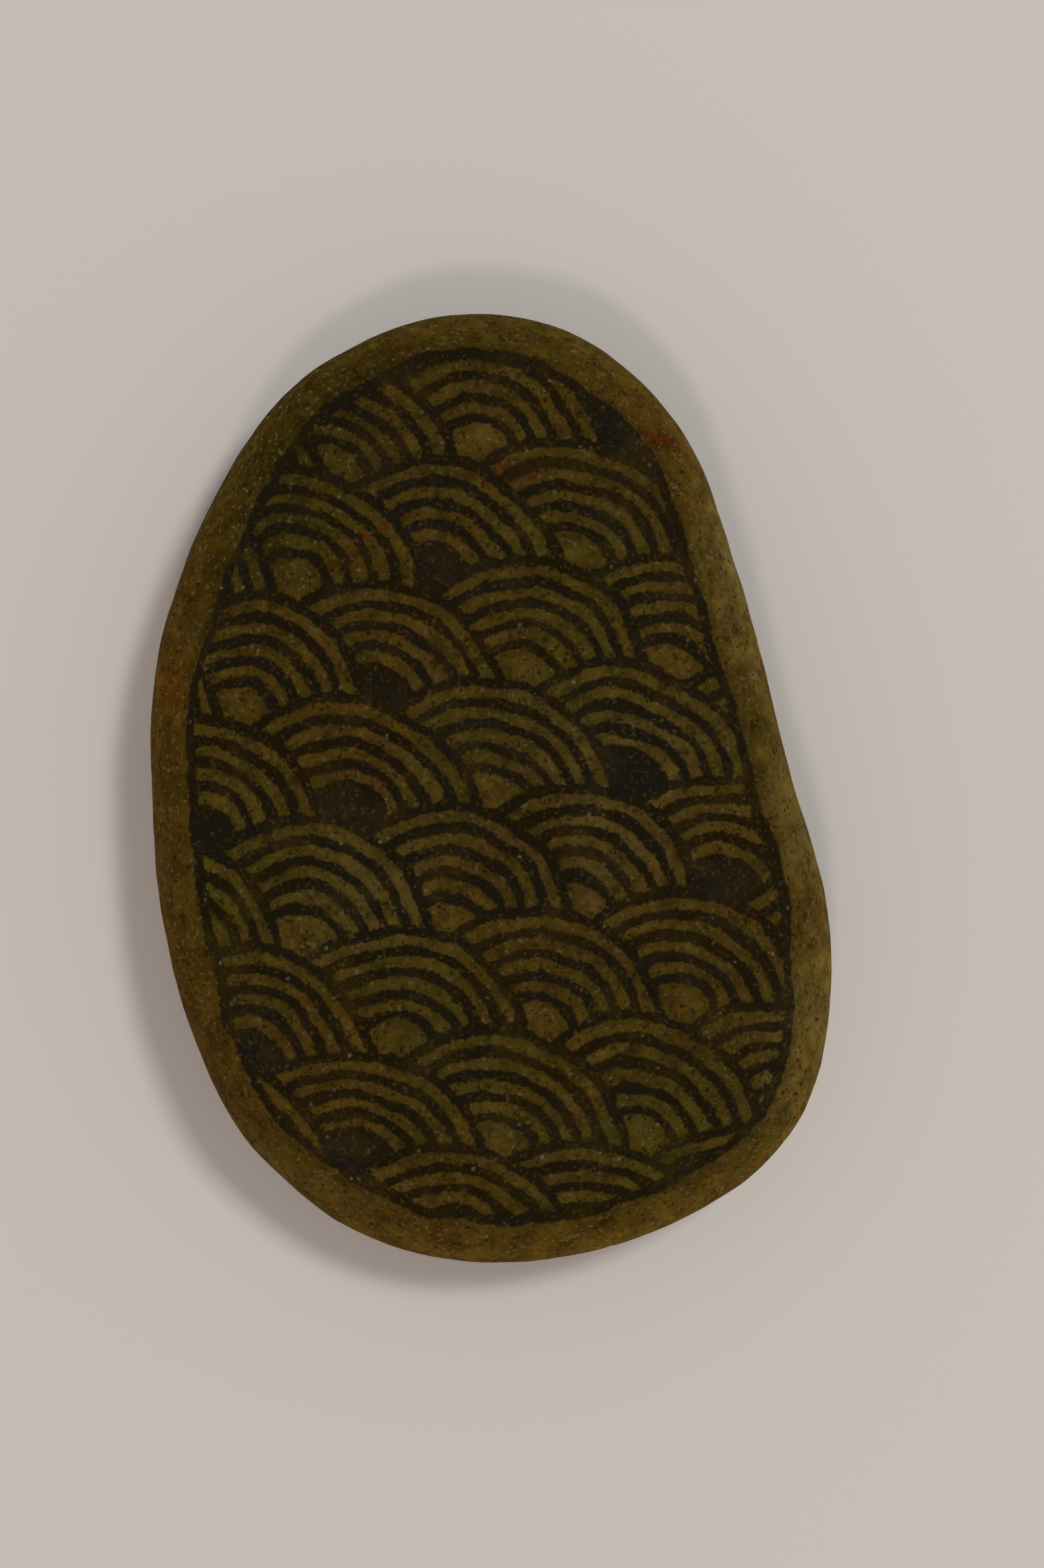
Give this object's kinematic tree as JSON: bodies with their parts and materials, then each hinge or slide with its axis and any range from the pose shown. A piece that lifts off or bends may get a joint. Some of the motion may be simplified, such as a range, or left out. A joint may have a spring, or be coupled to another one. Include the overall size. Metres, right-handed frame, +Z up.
{
  "type": "river pebble",
  "caption": "Flat oval river pebble of olive-brown sandstone, worn smooth, decorated on its broad face with dark pen lines.",
  "frame": {"origin": "on the ground, below the middle of the stone's bounding box", "axes": "+Y along the stone's length, towards its narrower end; +Z up through its thickness, out of the decorated broad face"},
  "size_m": [0.068, 0.095, 0.025],
  "materials": {
    "stone": "water-worn fine-grained sandstone, matt with tiny glints, dark felt-pen lines on the broad face"
  },
  "bodies": {
    "root": {"pebble": "stone"}
  },
  "joints": []
}
